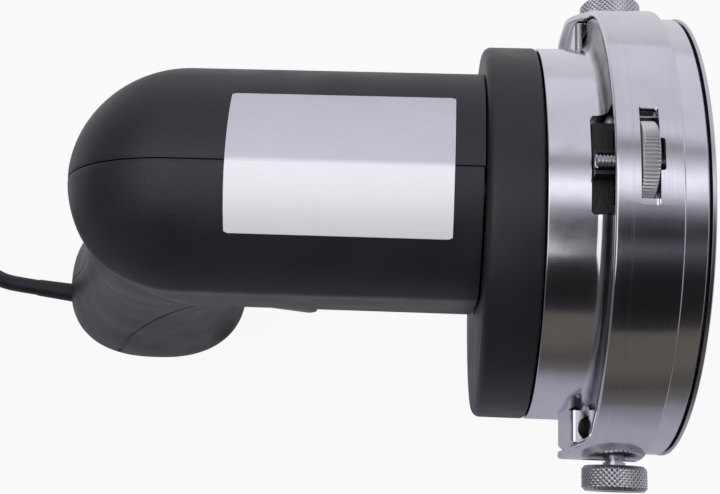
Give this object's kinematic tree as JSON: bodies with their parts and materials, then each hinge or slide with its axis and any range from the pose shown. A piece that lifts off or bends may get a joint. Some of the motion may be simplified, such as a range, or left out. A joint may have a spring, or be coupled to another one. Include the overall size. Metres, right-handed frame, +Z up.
{
  "type": "electric kebab slicer",
  "caption": "Electric kebab slicer: pistol grip motor housing, polished gear head with a round blade, sliding guard band with knurled adjuster, and a coiled power cord.",
  "frame": {"origin": "centre of the flat butt of the grip", "axes": "+X from the grip towards the blade, +Y to the tool's left, +Z up from the butt to the head"},
  "size_m": [0.3642, 0.1386, 0.1619],
  "materials": {
    "black_plastic": "fine grained black",
    "trigger_plastic": "smooth black",
    "black_rubber": "matte black",
    "polished_aluminium": "polished",
    "stainless_band": "polished stainless",
    "blade_steel": "ground",
    "plated_steel": "plated",
    "silver_label": "satin, blank",
    "core_steel": "dark",
    "copper": "copper coloured",
    "brass": "plain",
    "white_nylon": "plain",
    "carbon": "dry"
  },
  "bodies": {
    "housing": {"right_housing": "black_plastic", "left_housing": "black_plastic", "rating_plate": "silver_label", "gear_head": "polished_aluminium", "bearing_plate": "polished_aluminium", "front_shaft_bearing": "plated_steel", "rear_shaft_bearing": "plated_steel", "adjusting_rod": "plated_steel", "rod_block": "black_plastic", "clamp_nut_left": "brass", "clamp_nut_right": "brass", "motor_field": "core_steel", "front_motor_bearing": "plated_steel", "rear_motor_bearing": "plated_steel", "brush_holder_left": "brass", "brush_holder_right": "brass", "carbon_brush_left": "carbon", "carbon_brush_right": "carbon", "trigger_spring": "plated_steel", "switch_body": "black_plastic", "cord_clamp": "black_plastic", "strain_relief": "black_rubber", "housing_screw_1": "plated_steel", "housing_screw_2": "plated_steel", "housing_screw_3": "plated_steel", "housing_screw_4": "plated_steel", "housing_screw_5": "plated_steel", "head_screw_1": "plated_steel", "head_screw_2": "plated_steel", "head_screw_3": "plated_steel", "head_screw_4": "plated_steel", "cord_stretch": "black_rubber", "cord_coil": "black_rubber", "plug_body": "black_rubber", "plug_pin_left": "plated_steel", "plug_pin_right": "plated_steel"},
    "guard": {"guard_band": "stainless_band"},
    "wheel": {"adjusting_wheel": "plated_steel"},
    "left_screw": {"thumb_screw_left": "plated_steel"},
    "right_screw": {"thumb_screw_right": "plated_steel"},
    "blade_rotor": {"blade": "blade_steel", "blade_hub": "plated_steel", "blade_nut": "plated_steel", "blade_shaft": "plated_steel", "drive_gear": "core_steel"},
    "motor_rotor": {"armature_core": "copper", "armature_shaft": "plated_steel", "commutator": "copper", "fan": "white_nylon", "pinion": "core_steel"},
    "trigger_slider": {"trigger": "trigger_plastic"}
  },
  "joints": [
    {"name": "guard_slide", "type": "slide", "parent": "housing", "child": "guard", "axis": [1, 0, 0], "range_m": [-0.0032, 0.0048]},
    {"name": "wheel_turn", "type": "hinge", "parent": "guard", "child": "wheel", "pos_m": [0.1281, -0.0013, 0.15382], "axis": [1, 0, 0], "range_deg": [-1645.8, 2468.7]},
    {"name": "thumb_screw_left_turn", "type": "hinge", "parent": "housing", "child": "left_screw", "pos_m": [0.1294, -0.0045, 0.108], "axis": [0, 1, 0], "range_deg": [0, 360]},
    {"name": "thumb_screw_right_turn", "type": "hinge", "parent": "housing", "child": "right_screw", "pos_m": [0.1294, -0.0045, 0.108], "axis": [0, -1, 0], "range_deg": [0, 360]},
    {"name": "blade_spin", "type": "hinge", "parent": "housing", "child": "blade_rotor", "pos_m": [0.1409, -0.0045, 0.108], "axis": [1, 0, 0], "continuous": true},
    {"name": "rotor_spin", "type": "hinge", "parent": "housing", "child": "motor_rotor", "pos_m": [0.06, 0, 0.126], "axis": [1, 0, 0], "continuous": true},
    {"name": "trigger_pull", "type": "slide", "parent": "housing", "child": "trigger_slider", "axis": [-1, 0, 0], "range_m": [0, 0.005], "stiffness_N_per_m": 400, "springref_m": -0.008, "deforming": ["trigger_spring"]}
  ],
  "couplings": [
    {"joint": "wheel_turn", "follows": "guard_slide", "rad_per_m": 8976},
    {"joint": "rotor_spin", "follows": "blade_spin", "ratio": -3.2857}
  ]
}
